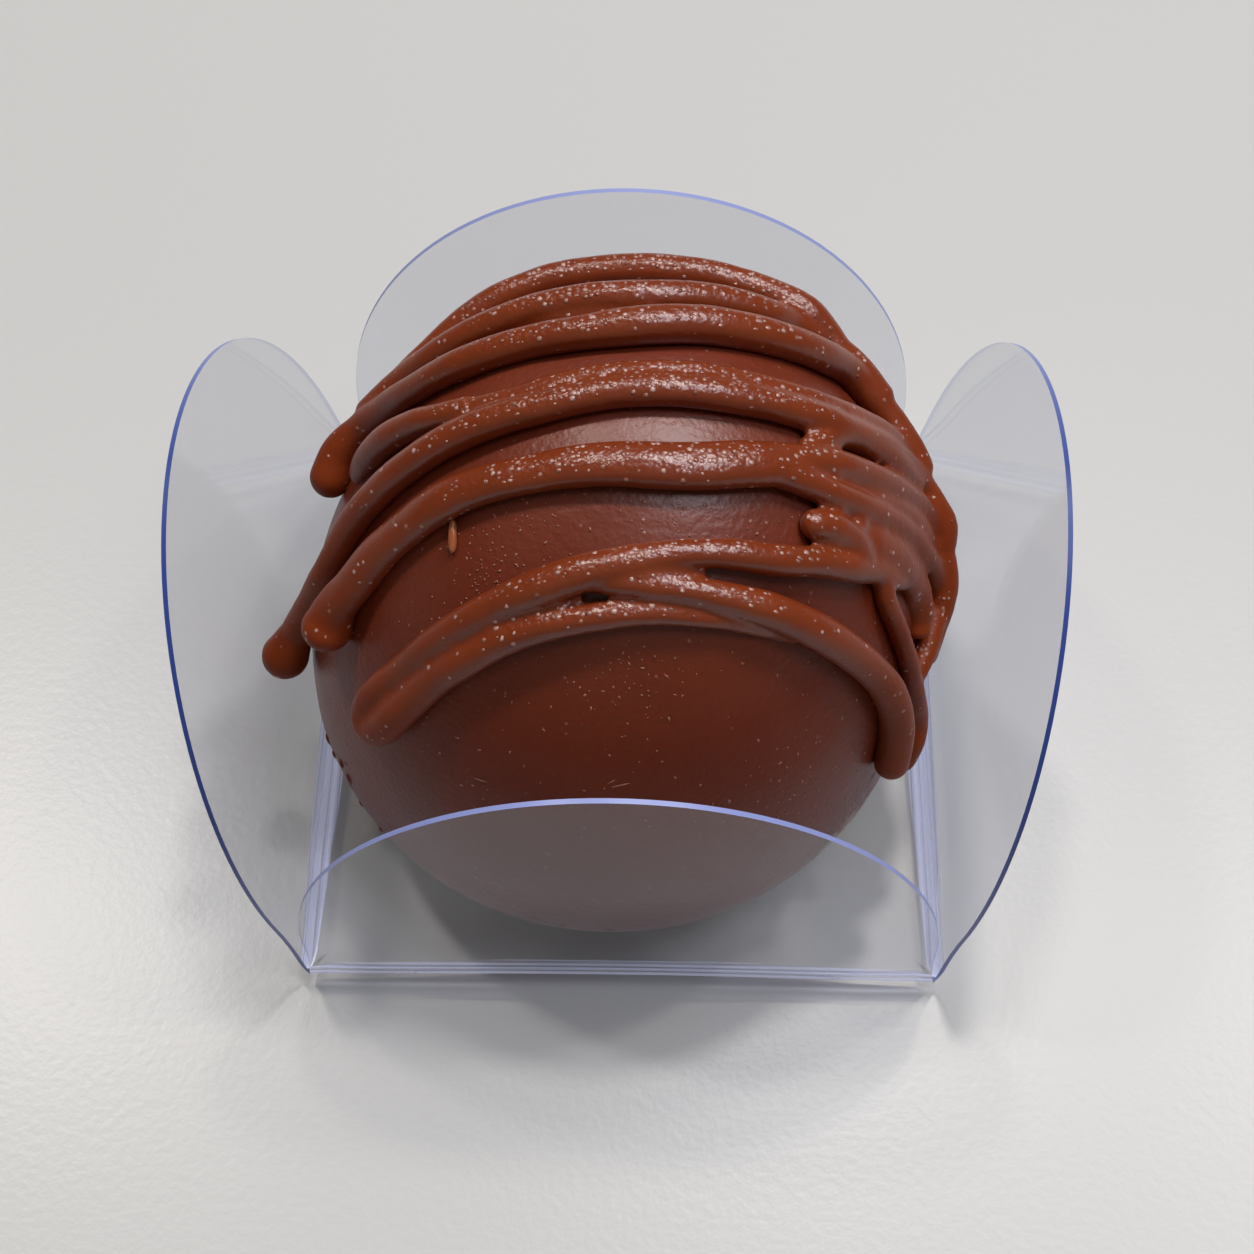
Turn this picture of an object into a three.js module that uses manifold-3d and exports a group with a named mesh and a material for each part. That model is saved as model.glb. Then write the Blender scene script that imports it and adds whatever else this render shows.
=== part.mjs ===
// A chocolate dome with thick piped drizzle, sitting in its own clear four-petal case.
// Millimetres, +Z up, +X to the right and +Y to the back. The origin is the middle of
// the underside of the case's base, on the surface that it stands on.

import * as THREE from 'three';
import { mergeVertices } from 'three/addons/utils/BufferGeometryUtils.js';
import loadManifold from 'manifold-3d';

const wasm = await loadManifold();
wasm.setup();

// Case: one clear sheet with a petal folded up on each side of a square base
const sheetThickness = 0.25;
const baseSide = 35;
const baseFlatSide = 26; // the middle of the base lies flat, the rest dishes up
const foldRise = 1.2; // height of the folds above the table
const dishCurve = 1.5; // how late the base turns up towards a fold
const dishSquareness = 12; // power of the rounded square that the dish follows
const baseSteps = 14;
const petalHeight = 25;
const petalWidth = 34.1; // at the shoulders, a little narrower than the fold
const shoulderHeight = 4.5; // the round top of a petal starts here
const petalSteps = 10; // for each half of the round top
const foldBead = 0.2; // radius of the bend along a fold
const foldSides = 8;
const petals = [
  { turn: 0, lean: 1 }, // front, degrees outward from upright
  { turn: 90, lean: 9.5 }, // right
  { turn: 180, lean: -1.5 }, // back
  { turn: 270, lean: 10 }, // left
];

// Dome: widest at its belt, with a rounded foot below and a tall round crown above
const domeRadius = 16.6;
const footRadius = 11.8;
const beltHeight = 9.5;
const domeHeight = 32;
const domeCentre = new THREE.Vector2(-0.6, -0.6);
const crownShift = 1.8; // the crown sits this far to the right of the belt
const domeSides = 44;
const footSteps = 6;
const crownSteps = 13;

// Drizzle: thick strands laid to and fro over the crown, in passes from the back to the
// front. Half is half a strand's width. A route lists places on the dome as degrees from
// the crown to the right and to the back. Where they differ from 1 and 0, a place also has
// the strand's thickness there and how many mm more it stands out, as on another strand.
const strandFlat = 1; // height as a share of width
const strandPerch = 0.85; // how far the middle stands out, as a share of half the height
const strandSunk = 0.4; // depth of the strand's underside in the dome
const strandSides = 8;
const strandStep = 2.1; // length of one facet
const strandCapSteps = 2;
const strands = [
  // A pass over the back
  { half: 0.8, route: [[-56, 46], [-36, 52], [0, 56], [34, 51], [54, 42]] },
  // Two passes behind the crown, joined at the left, and a thin one in front of them
  { half: 0.82,
    route: [[-50, 23, 0.9], [-43, 27], [-39, 31], [-8, 38, 1, 0.3], [18, 36, 1, 0.5], [38, 27, 0.9, 0.3]] },
  { half: 0.8,
    route: [[-52, 24, 1, 0.2], [-45, 25], [-13, 24], [0, 23], [21, 26], [30, 29], [36, 28, 1, 0.2],
      [46, 22, 1, 0.4]] },
  { half: 0.55, perch: 0.25, route: [[-45, 27, 1, 0.3], [-37, 28], [-28, 25], [2, 21]] },
  // The pass behind the crown, with a hooked end at the left
  { half: 0.8,
    route: [[-62, 16, 1.2], [-54, 20], [-40, 17], [-16, 14], [0, 14, 1.2], [31, 20], [39, 23],
      [51, 18, 1, 0.2], [57, 12, 1, 0.4]] },
  // Two passes side by side over the crown, and a third that joins them on the right
  { half: 0.75, route: [[-54, 9, 0.9, -0.5], [-50, 8, 1, -0.2], [-27, 3, 0.8]] },
  { half: 0.68, perch: 0.65,
    route: [[-33, 4, 0.9], [-19, 2, 0.9], [0, 4], [32, 6], [53, 13, 1.1], [57, 12, 1.1, 0.2],
      [60, 9, 1.1, 0.2]] },
  { half: 0.76,
    route: [[-80, -15, 1.6, 0.4], [-76, -12, 1.1, 0.2], [-61, -9], [-51, -5], [-28, -1], [0, 0], [29, 2],
      [44, 6], [59, 9, 1, 0.2], [66, 1, 1.1, 0.4]] },
  { half: 0.68, route: [[27, -3, 0.8], [36, 3], [48, 5, 1.1], [55, 7]] },
  // The widest pass, in front of the crown
  { half: 1.05, flat: 0.78, perch: 0.6,
    route: [[-58, -22, 1.2, 0.4], [-55, -19, 1.1, 0.3], [-31, -12], [8, -11, 1.1], [28, -6, 0.8]] },
  // Its two branches round the right side, with the groove between them half filled
  { half: 0.74,
    route: [[20, -7, 0.9], [45, -1], [64, 3, 1, 0.2], [71, -8, 0.9, 0.4], [73, -13, 0.9, 0.1],
      [70, -20, 0.8]] },
  { half: 0.68, route: [[16, -10], [29, -10], [59, -6], [70, -6], [67, -25, 0.8]] },
  { half: 0.75, perch: 0.4, route: [[36, -7, 0.8], [62, -1, 1.1], [66, -1, 0.9]] },
  // A small hook and the low web beside it
  { half: 0.74, perch: 0.75, route: [[29, -16], [37, -16], [40, -17, 0.9]] },
  { half: 1.15, flat: 0.62, perch: 0.3, route: [[37, -12, 0.8], [56, -11], [62, -13, 0.8], [65, -17, 0.6]] },
  { half: 1.1, flat: 0.62, perch: 0.3, route: [[37, -17, 0.9], [43, -16], [53, -14, 0.7]] },
  // The last two passes, looped together at the left, with two drips down the right side
  { half: 0.76, perch: 0.7,
    route: [[-49, -38, 1.1, 0.1], [-15, -29, 1.2], [-3, -26, 1.1], [10, -24, 0.9], [23, -23],
      [44, -18, 0.8]] },
  { half: 0.82, perch: 0.75, route: [[-50, -39, 1, 0.1], [-51, -41, 1, 0.1], [-50, -43, 1, 0.1]] },
  { half: 0.72, perch: 0.65, route: [[-48, -43, 1.2, 0.1], [-33, -38, 1.1], [1, -33, 0.8], [28, -33, 0.7]] },
  { half: 0.6, perch: 0.3, route: [[-48, -41], [-44, -40], [-32, -36, 0.7]] },
  { half: 0.62, perch: 0.95, route: [[-6, -28, 0.9], [0, -27], [10, -26, 0.5]] },
  { half: 0.55, route: [[46, -18], [48, -21], [70, -29, 1.1], [76, -31, 1.2, 0.1], [78, -39, 1.2, 0.2]] },
  { half: 0.85, route: [[-7, -28, 0.7], [17, -30, 0.9], [47, -33], [60, -37], [66, -44, 1.1]] },
];

const mergeDistance = 1e-5; // corners closer than this are one corner

const crownRise = domeHeight - beltHeight;
const footBend = Math.asin(footRadius / domeRadius);
const footDrop = (beltHeight - sheetThickness) / Math.cos(footBend);

const clearPlastic = new THREE.MeshStandardMaterial({
  color: 0xdfe4f2, roughness: 0.08, metalness: 0, transparent: true, opacity: 0.3,
});
const milkChocolate = new THREE.MeshStandardMaterial({ color: 0x5c2a1a, roughness: 0.42, metalness: 0 });

// Closed triangles of a three.js geometry as a solid that can be joined
function toSolid(geometry) {
  const bare = geometry.clone();
  bare.deleteAttribute('normal');
  bare.deleteAttribute('uv');
  const merged = mergeVertices(bare, mergeDistance);
  const corners = merged.index.array;
  const kept = [];
  for (let i = 0; i < corners.length; i += 3) {
    const [a, b, c] = corners.slice(i, i + 3);
    if (a !== b && b !== c && c !== a) kept.push(a, b, c);
  }
  return new wasm.Manifold(new wasm.Mesh({
    numProp: 3,
    vertProperties: new Float32Array(merged.attributes.position.array),
    triVerts: new Uint32Array(kept),
  }));
}

// The joined solids' outer skin as one geometry; pockets closed in by the joins are filled
function joined(solids) {
  const whole = solids.reduce((sum, solid) => sum.add(solid));
  const skins = whole.decompose().sort((a, b) => b.volume() - a.volume());
  const mesh = skins[0].getMesh();
  const geometry = new THREE.BufferGeometry();
  geometry.setAttribute('position', new THREE.BufferAttribute(mesh.vertProperties, 3));
  geometry.setIndex(new THREE.BufferAttribute(mesh.triVerts, 1));
  geometry.computeVertexNormals();
  return geometry;
}

function movePoints(geometry, move) {
  const position = geometry.attributes.position;
  const point = new THREE.Vector3();
  for (let i = 0; i < position.count; i += 1) {
    point.fromBufferAttribute(position, i);
    move(point);
    position.setXYZ(i, point.x, point.y, point.z);
  }
  return geometry;
}

// Base of the case: flat in the middle and turned up to the folds
function makeBase() {
  const plate = new THREE.BoxGeometry(baseSide, baseSide, sheetThickness, baseSteps, baseSteps, 1);
  plate.translate(0, 0, sheetThickness / 2);
  const flat = baseFlatSide / 2;
  const turned = baseSide / 2 - flat;
  return movePoints(plate, (point) => {
    const square = Math.abs(point.x) ** dishSquareness + Math.abs(point.y) ** dishSquareness;
    const beyond = square ** (1 / dishSquareness) - flat;
    point.z += foldRise * THREE.MathUtils.clamp(beyond / turned, 0, 1) ** dishCurve;
  });
}

// Petal: straight fold at the bottom, slightly drawn-in sides and a round top
function makePetal({ turn, lean }) {
  const halfFold = baseSide / 2;
  const half = petalWidth / 2;
  const drawIn = shoulderHeight / 2;
  const outline = new THREE.Shape();
  outline.moveTo(-halfFold, 0);
  outline.lineTo(halfFold, 0);
  outline.quadraticCurveTo(half, drawIn, half, shoulderHeight);
  outline.absellipse(0, shoulderHeight, half, petalHeight - shoulderHeight, 0, Math.PI);
  outline.quadraticCurveTo(-half, drawIn, -halfFold, 0);
  const petal = new THREE.ExtrudeGeometry(outline, {
    depth: sheetThickness, bevelEnabled: false, curveSegments: petalSteps,
  });
  petal.rotateX(Math.PI / 2 + THREE.MathUtils.degToRad(lean));
  petal.translate(0, -halfFold + sheetThickness / 2, foldRise + sheetThickness / 2);
  return petal.rotateZ(THREE.MathUtils.degToRad(turn));
}

// Rounded bend along a fold, where base and petal run into each other
function makeFold({ turn }) {
  const bend = new THREE.CylinderGeometry(foldBead, foldBead, baseSide, foldSides);
  bend.rotateZ(Math.PI / 2);
  bend.translate(0, -baseSide / 2, foldRise + sheetThickness / 2);
  return bend.rotateZ(THREE.MathUtils.degToRad(turn));
}

// A place on the dome, by degrees from the crown and mm out from its surface
function onDome(right, back, out) {
  const fromCrown = THREE.MathUtils.degToRad(Math.hypot(right, back));
  const heading = Math.atan2(back, right);
  const reach = (domeRadius + out) * Math.sin(fromCrown);
  const level = Math.cos(fromCrown);
  const span = level > 0 ? crownRise : footDrop;
  return new THREE.Vector3(
    domeCentre.x + crownShift * Math.max(0, level) + reach * Math.cos(heading),
    domeCentre.y + reach * Math.sin(heading),
    beltHeight + (span + out) * level,
  );
}

function makeDome() {
  const profile = [new THREE.Vector2(0, sheetThickness)];
  for (let i = 0; i <= footSteps; i += 1) {
    const bend = footBend + (Math.PI / 2 - footBend) * (i / footSteps);
    const drop = footDrop * Math.cos(bend);
    profile.push(new THREE.Vector2(domeRadius * Math.sin(bend), beltHeight - drop));
  }
  for (let i = 1; i <= crownSteps; i += 1) {
    const bend = (Math.PI / 2) * (i / crownSteps);
    const reach = i < crownSteps ? domeRadius * Math.cos(bend) : 0;
    profile.push(new THREE.Vector2(reach, beltHeight + crownRise * Math.sin(bend)));
  }
  const dome = new THREE.LatheGeometry(profile, domeSides);
  dome.rotateX(Math.PI / 2);
  return movePoints(dome, (point) => {
    const level = Math.max(0, (point.z - beltHeight) / crownRise);
    point.x += domeCentre.x + crownShift * level;
    point.y += domeCentre.y;
  });
}

// The line of a strand over the dome, at half the strand's height
class StrandLine extends THREE.Curve {
  constructor({ half, flat = strandFlat, perch = strandPerch, route }) {
    super();
    this.top = half * flat * (1 + perch);
    this.places = new THREE.CatmullRomCurve3(route.map(([right, back]) => new THREE.Vector3(right, back)));
    this.girths = new THREE.CatmullRomCurve3(
      route.map(([, , thickness = 1, lift = 0]) => new THREE.Vector3(thickness, lift)),
    );
  }

  girthAt(t) {
    const { x: thickness, y: lift } = this.girths.getPoint(t);
    return { thickness, crest: this.top * thickness + lift };
  }

  getPoint(t) {
    const { x, y } = this.places.getPoint(t);
    return onDome(x, y, (this.girthAt(t).crest - strandSunk) / 2);
  }
}

// A strand: a straight bead with round ends, bent along its line over the dome
function makeStrand(strand) {
  const line = new StrandLine(strand);
  const length = line.getLength();
  const bead = new THREE.CapsuleGeometry(
    strand.half, length, strandCapSteps, strandSides, Math.ceil(length / strandStep),
  );
  return movePoints(bead, (point) => {
    const along = THREE.MathUtils.clamp(point.y / length + 0.5, 0, 1);
    const beyond = point.y - (along - 0.5) * length; // into the round end
    const t = line.getUtoTmapping(along);
    const { x: right, y: back } = line.places.getPoint(t);
    const { thickness, crest } = line.girthAt(t);
    const tallness = (crest + strandSunk) / 2 / strand.half;
    const tangent = line.getTangentAt(along);
    const outward = onDome(right, back, 1).sub(onDome(right, back, 0)).normalize();
    const aside = outward.clone().cross(tangent).normalize();
    const { x, z } = point;
    point.copy(line.getPointAt(along));
    point.addScaledVector(outward, x * tallness);
    point.addScaledVector(aside, z * thickness);
    point.addScaledVector(tangent, beyond * thickness);
  });
}

const caseSolids = [makeBase(), ...petals.map(makePetal), ...petals.map(makeFold)].map(toSolid);
const clearCase = new THREE.Mesh(joined(caseSolids), clearPlastic);
clearCase.name = 'case';

const chocolateSolids = [makeDome(), ...strands.map(makeStrand)].map(toSolid);
const chocolate = new THREE.Mesh(joined(chocolateSolids), milkChocolate);
chocolate.name = 'chocolate';

const sweet = new THREE.Group();
sweet.add(clearCase, chocolate);

export default sweet;
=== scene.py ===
import math
import random
import bpy
from mathutils import Matrix, Vector


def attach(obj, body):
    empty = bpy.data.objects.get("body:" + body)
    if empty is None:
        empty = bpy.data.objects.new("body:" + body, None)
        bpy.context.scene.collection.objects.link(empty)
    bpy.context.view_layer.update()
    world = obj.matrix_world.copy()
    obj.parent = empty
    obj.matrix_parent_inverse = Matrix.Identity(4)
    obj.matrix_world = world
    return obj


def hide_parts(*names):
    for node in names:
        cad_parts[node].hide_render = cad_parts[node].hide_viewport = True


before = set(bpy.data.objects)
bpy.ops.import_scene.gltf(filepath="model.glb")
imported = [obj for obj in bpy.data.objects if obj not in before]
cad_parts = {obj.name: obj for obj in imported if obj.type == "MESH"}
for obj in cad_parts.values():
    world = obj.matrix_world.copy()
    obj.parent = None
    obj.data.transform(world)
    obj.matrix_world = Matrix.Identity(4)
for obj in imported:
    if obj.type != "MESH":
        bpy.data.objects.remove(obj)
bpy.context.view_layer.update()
mm = 0.001
cocoaIor = 1.46  # how strongly chocolate bends light
plasticIor = 1.5  # and a plastic sheet
print("frame loaded:", sorted(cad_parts))


def linear(hexColour):  # sRGB hex to the linear colour that shaders take
    channels = [int(hexColour[i:i + 2], 16) / 255 for i in (1, 3, 5)]
    return [c / 12.92 if c <= 0.04045 else ((c + 0.055) / 1.055) ** 2.4 for c in channels] + [1.0]


def addNode(tree, kind, inputs=(), **settings):  # a node with its settings, values and links
    node = tree.nodes.new(kind)
    for name, value in settings.items():
        setattr(node, name, value)
    for name, value in dict(inputs).items():
        if isinstance(value, bpy.types.NodeSocket):
            tree.links.new(value, node.inputs[name])
        else:
            node.inputs[name].default_value = value
    return node


def newMaterial(name):
    material = bpy.data.materials.new(name)
    material.use_nodes = True
    material.node_tree.nodes.clear()
    return material, material.node_tree


def twoTones(tree, place, colours, drift, detail=2):  # a colour that drifts between two, and its noise
    tone = addNode(tree, "ShaderNodeTexNoise", {"Vector": place, "Scale": 1 / (drift * mm),
                                                "Detail": detail})
    dark, light = (linear(colour) for colour in colours)
    mix = addNode(tree, "ShaderNodeMix", {0: tone.outputs["Fac"], 6: dark, 7: light}, data_type="RGBA")
    return mix.outputs[2], tone.outputs["Fac"]


def clearSelection():
    if bpy.context.object and bpy.context.object.mode != "OBJECT":
        bpy.ops.object.mode_set(mode="OBJECT")
    bpy.ops.object.select_all(action="DESELECT")


def pick(piece, test):  # in edit mode, selects the points where the test says
    bpy.ops.mesh.select_mode(type="VERT")
    bpy.ops.mesh.select_all(action="DESELECT")
    bpy.ops.object.mode_set(mode="OBJECT")
    for point in piece.data.vertices:
        point.select = test(point)
    bpy.ops.object.mode_set(mode="EDIT")


def applyAll(piece):
    bpy.context.view_layer.objects.active = piece
    for modifier in list(piece.modifiers):
        bpy.ops.object.modifier_apply(modifier=modifier.name)


def makeUneven(piece, name, size, depth):  # swells the surface in and out, by mm
    texture = bpy.data.textures.new(name, "CLOUDS")
    texture.noise_scale = size * mm
    uneven = piece.modifiers.new(name, "DISPLACE")
    uneven.texture = texture
    uneven.strength = depth * mm


def settle(piece, slot, *nodes):  # rides on the only body and stands for its nodes
    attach(piece, "root")
    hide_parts(*nodes)
    print("made", piece.name, len(piece.data.vertices), "points")


# Camera at the photo's place: looking down on the front of the case
camera = {"place": (2.78, -53.36, 106.66), "turn": 2.817, "tiltDown": 61.187, "roll": -1.914,
          "lens": 57.23, "sensor": 36.0, "nearest": 1.0}


def setCamera():
    clearSelection()
    bpy.ops.object.camera_add()
    eye = bpy.context.object
    eye.data.lens = camera["lens"]
    eye.data.sensor_width = camera["sensor"]
    eye.data.clip_start = camera["nearest"] * mm
    turn = Matrix.Rotation(math.radians(camera["turn"]), 4, "Z")
    tilt = Matrix.Rotation(math.radians(90 - camera["tiltDown"]), 4, "X")
    roll = Matrix.Rotation(math.radians(camera["roll"]), 4, "Z")
    eye.matrix_world = Matrix.Translation(Vector(camera["place"]) * mm) @ turn @ tilt @ roll
    bpy.context.scene.camera = eye
    bpy.context.scene.view_settings.view_transform = "Standard"
    print("camera set")


# Room: three lamps and a pale panel in the ceiling behind the sweet, a soft lamp near it, a glow in front
room = {
    "lamps": {  # the way to each lamp, its power in watts, its size and its colour
        "back": ((2.5, 8.7, 26.3), 1.2, 60, "#fff9f1"), "right": ((11.9, 8.0, 26.2), 1.0, 60, "#fff9f1"),
        "left": ((-10.4, 9.0, 26.2), 1.2, 60, "#fff9f1"), "near": ((10.6, -2.0, 27.0), 1.4, 240, "#eef2ff"),
        "panel": ((5.0, 10.0, 26.0), 1.1, 400, "#eaf0ff")},
    "lampDistance": 700,
    "walls": "#312d26", "ceiling": "#444340", "wallTop": (0.1, 0.9),  # where the walls turn into the ceiling
    "frontGlow": 4.0, "glowSpan": (-0.75, -0.1),  # how much brighter the front is, and where that fades
}


def lightRoom():
    for name, (towards, power, size, colour) in room["lamps"].items():
        place = Vector(towards).normalized() * room["lampDistance"] * mm
        bpy.ops.object.light_add(type="AREA", location=place)
        lamp = bpy.context.object
        lamp.name = name + "Lamp"
        lamp.rotation_euler = place.to_track_quat("Z", "Y").to_euler()
        lamp.data.shape = "DISK"
        lamp.data.size = size * mm
        lamp.data.energy = power
        lamp.data.color = linear(colour)[:3]
    world = bpy.data.worlds.new("room")
    bpy.context.scene.world = world
    world.use_nodes = True
    tree = world.node_tree
    tree.nodes.clear()
    way = addNode(tree, "ShaderNodeTexCoord").outputs["Generated"]
    axes = addNode(tree, "ShaderNodeSeparateXYZ", {"Vector": way})
    low, high = room["wallTop"]
    rise = addNode(tree, "ShaderNodeMapRange", {"Value": axes.outputs["Z"], "From Min": low,
                                                "From Max": high})
    shade = addNode(tree, "ShaderNodeMix", {0: rise.outputs[0], 6: linear(room["walls"]),
                                            7: linear(room["ceiling"])}, data_type="RGBA")
    front, middle = room["glowSpan"]
    glow = addNode(tree, "ShaderNodeMapRange", {"Value": axes.outputs["Y"], "From Min": front,
                                                "From Max": middle, "To Min": room["frontGlow"],
                                                "To Max": 1})
    back = addNode(tree, "ShaderNodeBackground", {"Color": shade.outputs[2], "Strength": glow.outputs[0]})
    addNode(tree, "ShaderNodeOutputWorld", {"Surface": back.outputs[0]})
    print("room lit")


# Table top: pale laminate with a fine grain, so that it has a soft sheen
table = {"side": 1500, "below": 0.05, "colour": "#c6c6c4", "roughness": 0.3, "gloss": 0.3,
         "grain": 0.5, "grainDepth": 0.1, "grainShare": 0.14}


def layTable():
    clearSelection()
    bpy.ops.mesh.primitive_plane_add(size=table["side"] * mm, location=(0, 0, -table["below"] * mm))
    floor = bpy.context.object
    floor.name = "table"
    material, tree = newMaterial("paleLaminate")
    place = addNode(tree, "ShaderNodeTexCoord").outputs["Object"]
    grain = addNode(tree, "ShaderNodeTexNoise", {"Vector": place, "Scale": 1 / (table["grain"] * mm)})
    bump = addNode(tree, "ShaderNodeBump", {"Height": grain.outputs["Fac"], "Strength": table["grainShare"],
                                            "Distance": table["grainDepth"] * mm})
    shader = addNode(tree, "ShaderNodeBsdfPrincipled", {
        "Base Color": linear(table["colour"]), "Roughness": table["roughness"],
        "Specular IOR Level": table["gloss"], "Normal": bump.outputs["Normal"]})
    addNode(tree, "ShaderNodeOutputMaterial", {"Surface": shader.outputs[0]})
    floor.data.materials.append(material)
    print("table laid")


# Dome: widest at its belt, a rounded foot below, a tall crown above that leans to the right
dome = {
    "radius": 16.6, "foot": 11.8, "belt": 9.5, "height": 32.0, "bottom": 0.25,
    "centre": (-0.6, -0.6), "crownShift": 1.8,
    "segments": 160, "rings": 120, "smoothAngle": 50,
    "swell": 5.0, "swellDepth": 0.12,  # the shell is faintly uneven
    "browns": ("#662410", "#753018"), "drift": 6.0, "roughness": (0.36, 0.48),  # drift: the tones' width
    "speck": "#8c5340", "speckGap": 0.7, "speckReach": (0.05, 0.16), "speckShare": 0.2, "speckRelief": 0.6,
    "crinkle": 0.35, "crinkleDepth": 0.05, "crinkleShare": 0.8,
    "glosses": [(12, 20, 0.5, 0.18), (23, 29, 0.18, 0.78)],  # mm up and gloss there, on foot and crown
}
crownRise = dome["height"] - dome["belt"]
footDrop = (dome["belt"] - dome["bottom"]) / math.sqrt(1 - (dome["foot"] / dome["radius"]) ** 2)


def onDome(right, back, out=0.0):  # a place by degrees from the crown, and mm out from the shell
    fromCrown = math.radians(math.hypot(right, back))
    heading = math.atan2(back, right)
    level = math.cos(fromCrown)
    reach = (dome["radius"] + out) * math.sin(fromCrown)
    span = crownRise if level > 0 else footDrop
    lean = dome["crownShift"] * max(0.0, level)
    return Vector((dome["centre"][0] + lean + reach * math.cos(heading),
                   dome["centre"][1] + reach * math.sin(heading),
                   dome["belt"] + (span + out) * level)) * mm


def outOfDome(right, back):  # the way straight out of the shell there
    step = 0.5
    across = onDome(right + step, back) - onDome(right - step, back)
    along = onDome(right, back + step) - onDome(right, back - step)
    return across.cross(along).normalized()


def mouldedChocolate():
    # Moulded milk chocolate: a smooth satin shell, dark and red, with a fine crinkle that greys its sheen
    material, tree = newMaterial("mouldedMilkChocolate")
    place = addNode(tree, "ShaderNodeTexCoord").outputs["Object"]
    brown, tone = twoTones(tree, place, dome["browns"], dome["drift"], detail=3)
    cells = addNode(tree, "ShaderNodeTexVoronoi", {"Vector": place, "Scale": 1 / (dome["speckGap"] * mm)})
    inner, outer = dome["speckReach"]
    dots = addNode(tree, "ShaderNodeMapRange", {"Value": cells.outputs["Distance"], "From Min": inner,
                                                "From Max": outer, "To Min": 1.0, "To Max": 0.0})
    chance = addNode(tree, "ShaderNodeSeparateColor", {"Color": cells.outputs["Color"]})
    chosen = addNode(tree, "ShaderNodeMath", {0: chance.outputs[0], 1: 1 - dome["speckShare"]},
                     operation="GREATER_THAN")
    specks = addNode(tree, "ShaderNodeMath", {0: dots.outputs[0], 1: chosen.outputs[0]},
                     operation="MULTIPLY")
    colour = addNode(tree, "ShaderNodeMix", {0: specks.outputs[0], 6: brown, 7: linear(dome["speck"])},
                     data_type="RGBA")
    crinkle = addNode(tree, "ShaderNodeTexNoise", {"Vector": place, "Scale": 1 / (dome["crinkle"] * mm)})
    relief = addNode(tree, "ShaderNodeMath", {0: specks.outputs[0], 1: dome["speckRelief"],
                                              2: crinkle.outputs["Fac"]}, operation="MULTIPLY_ADD")
    bump = addNode(tree, "ShaderNodeBump", {"Height": relief.outputs[0], "Strength": dome["crinkleShare"],
                                            "Distance": dome["crinkleDepth"] * mm})
    smooth, dull = dome["roughness"]
    rough = addNode(tree, "ShaderNodeMapRange", {"Value": tone, "To Min": smooth, "To Max": dull})
    height = addNode(tree, "ShaderNodeSeparateXYZ", {"Vector": place}).outputs["Z"]
    foot, crown = (addNode(tree, "ShaderNodeMapRange", {
        "Value": height, "From Min": low * mm, "From Max": high * mm,
        "To Min": lowGloss, "To Max": highGloss})
        for low, high, lowGloss, highGloss in dome["glosses"])
    gloss = addNode(tree, "ShaderNodeMath", {0: foot.outputs[0], 1: crown.outputs[0]}, operation="MAXIMUM")
    shader = addNode(tree, "ShaderNodeBsdfPrincipled", {
        "Base Color": colour.outputs[2], "Roughness": rough.outputs[0], "IOR": cocoaIor,
        "Specular IOR Level": gloss.outputs[0], "Normal": bump.outputs["Normal"]})
    addNode(tree, "ShaderNodeOutputMaterial", {"Surface": shader.outputs[0]})
    return material


def makeDome():
    clearSelection()
    middle = Vector((*dome["centre"], dome["belt"])) * mm
    bpy.ops.mesh.primitive_uv_sphere_add(segments=dome["segments"], ring_count=dome["rings"],
                                         radius=dome["radius"] * mm, location=middle)
    shell = bpy.context.object
    shell.name = "chocolateDome"
    bpy.ops.object.transform_apply(location=True, rotation=True, scale=True)
    bpy.ops.object.mode_set(mode="EDIT")
    belt = dome["belt"] * mm
    slack = 0.001 * mm
    pick(shell, lambda point: point.co.z > belt + slack)
    bpy.ops.transform.resize(value=(1, 1, crownRise / dome["radius"]), center_override=middle)
    pick(shell, lambda point: point.co.z < belt - slack)
    bpy.ops.transform.resize(value=(1, 1, footDrop / dome["radius"]), center_override=middle)
    bpy.ops.mesh.select_all(action="SELECT")
    bpy.ops.mesh.bisect(plane_co=(0, 0, dome["bottom"] * mm), plane_no=(0, 0, -1), use_fill=True,
                        clear_outer=True)
    bpy.ops.object.mode_set(mode="OBJECT")
    leanCrown(shell, middle)
    makeUneven(shell, "unevenShell", dome["swell"], dome["swellDepth"])
    applyAll(shell)
    bpy.ops.object.shade_smooth_by_angle(angle=math.radians(dome["smoothAngle"]))
    shell.data.materials.append(mouldedChocolate())
    settle(shell, "chocolate", "chocolate")


def leanCrown(shell, middle):  # a cage of three layers whose top layer slides to the right
    bpy.ops.object.add(type="LATTICE", location=middle)
    cage = bpy.context.object
    cage.data.points_u = cage.data.points_v = 2
    cage.data.points_w = 3
    cage.data.interpolation_type_u = cage.data.interpolation_type_v = "KEY_LINEAR"
    cage.data.interpolation_type_w = "KEY_LINEAR"
    side = 3 * dome["radius"] * mm  # wider than the dome
    cage.scale = (side, side, 2 * crownRise * mm)
    layerGap = 0.5  # as a share of the cage's height
    for corner in cage.data.points:
        if corner.co.z > layerGap / 2:
            corner.co_deform.x += dome["crownShift"] * mm / side
    shell.modifiers.new("lean", "LATTICE").object = cage
    applyAll(shell)
    bpy.data.objects.remove(cage)
    clearSelection()
    shell.select_set(True)
    bpy.context.view_layer.objects.active = shell


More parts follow.
